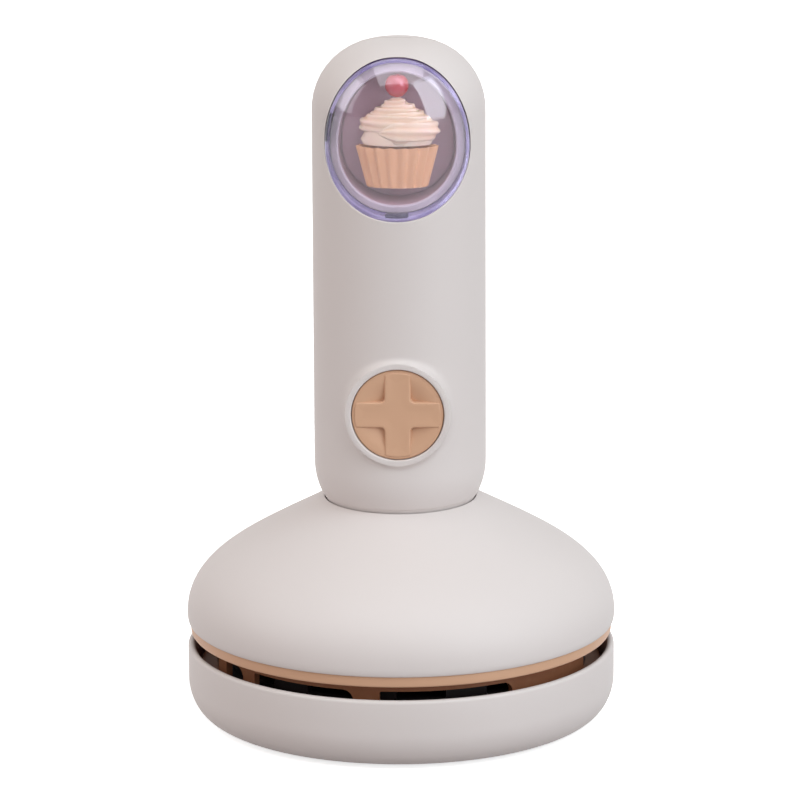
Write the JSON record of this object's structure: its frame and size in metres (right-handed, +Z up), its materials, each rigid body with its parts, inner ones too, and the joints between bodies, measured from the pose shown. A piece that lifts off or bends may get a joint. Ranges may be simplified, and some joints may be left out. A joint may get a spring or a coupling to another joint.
{
  "type": "desktop mini vacuum cleaner",
  "caption": "Small upright desk vacuum: round dust bowl, flared motor bell and capsule handle with a push button and a domed display window.",
  "frame": {"origin": "middle of the desk's surface under the dust bowl", "axes": "+Z up along the handle, front with button and window towards -Y, +X to the right"},
  "size_m": [0.1002, 0.1002, 0.1605],
  "materials": {
    "shell_white": "fine satin, warm off-white",
    "tan_plastic": "satin, tan",
    "dark_plastic": "matte, near black",
    "tray_mauve": "satin, mauve grey",
    "lens_lilac": "clear, polished, faint lilac tint",
    "rubber_grey": "matte",
    "brush_fibre": "nylon strands",
    "filter_felt": "felt, off-white",
    "nylon_white": "natural nylon",
    "screw_steel": "zinc plated",
    "motor_steel": "nickel plated can",
    "board_green": "solder mask",
    "cell_wrap": "metal cell in a blue sleeve",
    "wire_red": "satin insulation",
    "wire_black": "satin insulation",
    "cup_apricot": "soft vinyl, apricot",
    "cream_white": "soft vinyl, cream",
    "cherry_red": "glossy vinyl, red"
  },
  "bodies": {
    "bowl": {"dust_bowl": "shell_white", "foot_pad_1": "rubber_grey", "foot_pad_2": "rubber_grey", "foot_pad_3": "rubber_grey", "foot_pad_4": "rubber_grey", "brush_strip_front": "brush_fibre", "brush_strip_back": "brush_fibre"},
    "fan": {"impeller": "dark_plastic", "motor_shaft": "screw_steel"},
    "button": {"power_button": "tan_plastic", "switch_stem": "tan_plastic"},
    "power_unit": {"air_chassis": "tan_plastic", "bowl_seal": "rubber_grey", "filter_frame": "tan_plastic", "filter_pad": "filter_felt", "fan_inlet_plate": "dark_plastic", "diffuser_ring": "dark_plastic", "motor_mount": "dark_plastic", "motor_can": "motor_steel", "motor_end_cap": "nylon_white", "motor_terminal_1": "screw_steel", "motor_terminal_2": "screw_steel", "motor_mount_screw_1": "screw_steel", "motor_mount_screw_2": "screw_steel", "motor_mount_screw_3": "screw_steel", "chassis_screw_1": "screw_steel", "chassis_screw_2": "screw_steel", "chassis_screw_3": "screw_steel", "chassis_screw_4": "screw_steel", "bell_shell": "shell_white", "handle_front_shell": "shell_white", "handle_back_shell": "shell_white", "neck_plate": "dark_plastic", "neck_screw_1": "screw_steel", "neck_screw_2": "screw_steel", "display_lens": "lens_lilac", "display_tray": "tray_mauve", "ornament_cup": "cup_apricot", "ornament_cream": "cream_white", "ornament_cherry": "cherry_red", "tray_screw": "screw_steel", "handle_screw_1": "screw_steel", "handle_screw_2": "screw_steel", "control_board": "board_green", "board_screw_1": "screw_steel", "board_screw_2": "screw_steel", "tact_switch": "dark_plastic", "button_spring": "screw_steel", "controller_chip": "dark_plastic", "motor_plug": "nylon_white", "cell_plug": "nylon_white", "battery_cell": "cell_wrap", "cell_tab_bottom": "screw_steel", "cell_tab_top": "screw_steel", "charge_board": "board_green", "charge_socket": "screw_steel", "motor_lead_black": "wire_black", "motor_lead_red": "wire_red", "cell_lead_black": "wire_black", "cell_lead_red": "wire_red"}
  },
  "joints": [
    {"name": "unit_lift", "type": "slide", "parent": "bowl", "child": "power_unit", "axis": [0, 0, 1], "range_m": [0, 0.03]},
    {"name": "fan_spin", "type": "hinge", "parent": "power_unit", "child": "fan", "pos_m": [0, 0, 0.018], "axis": [0, 0, 1], "continuous": true},
    {"name": "button_press", "type": "slide", "parent": "power_unit", "child": "button", "axis": [0, 1, 0], "range_m": [0, 0.0008], "stiffness_N_per_m": 700, "springref_m": -0.0006, "deforming": ["button_spring"]}
  ]
}
